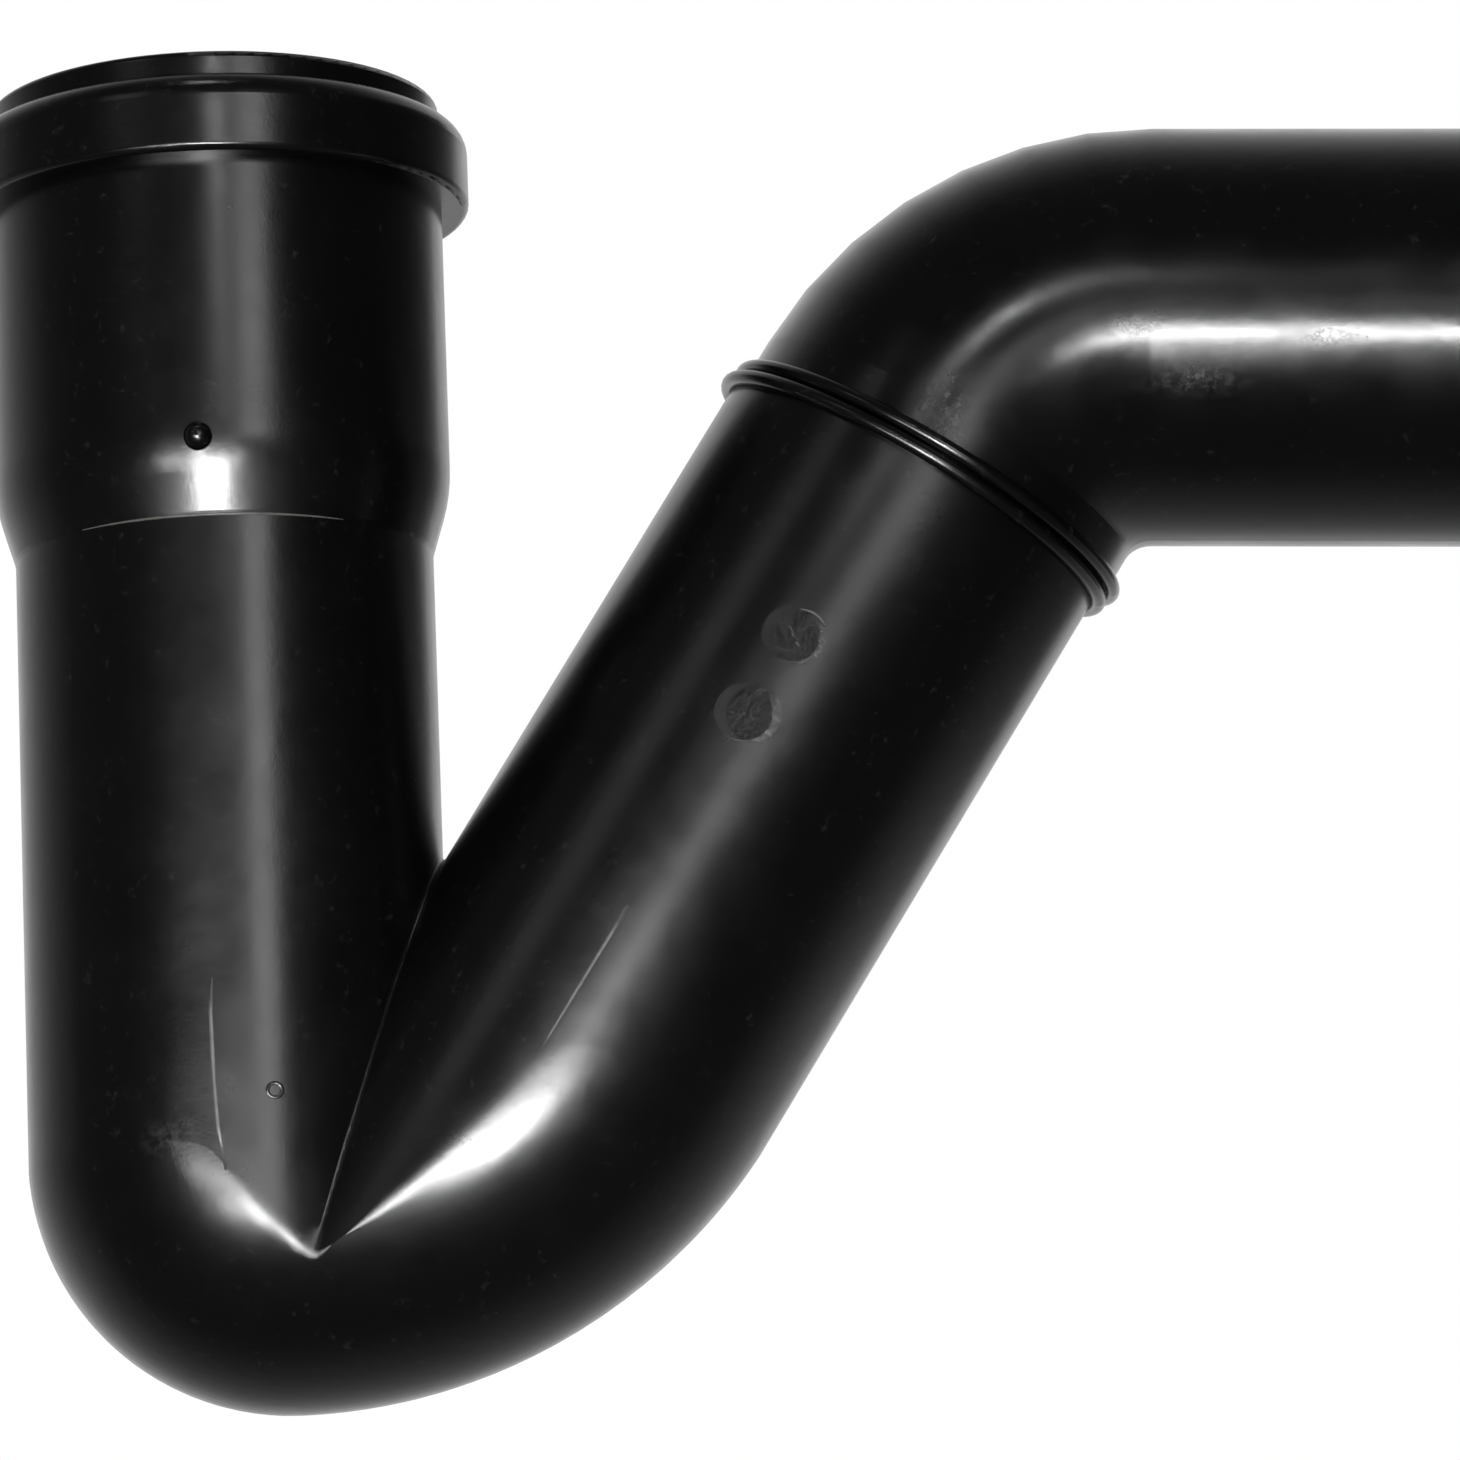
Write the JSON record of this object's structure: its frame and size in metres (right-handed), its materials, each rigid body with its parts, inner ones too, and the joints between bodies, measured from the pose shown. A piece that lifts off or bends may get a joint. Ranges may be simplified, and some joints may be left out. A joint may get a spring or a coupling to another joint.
{
  "type": "floor drain trap",
  "caption": "V-shaped pipe trap with a push-fit inlet socket, a rising leg, a butt-welded elbow and a plain outlet spigot, for holding a water seal below a floor drain.",
  "frame": {"origin": "centre of the inlet socket's stop face, where an inserted pipe ends, on the socket's axis", "axes": "+Z along the inlet axis out of the socket mouth, +X towards the outlet, the trap's plane is XZ"},
  "size_m": [0.2089, 0.0612, 0.1589],
  "materials": {
    "moulding": "satin black moulded polypropylene",
    "seal": "matt black moulded rubber"
  },
  "bodies": {
    "root": {"trap_body": "moulding", "outlet_elbow": "moulding", "lip_seal": "seal"}
  },
  "joints": []
}
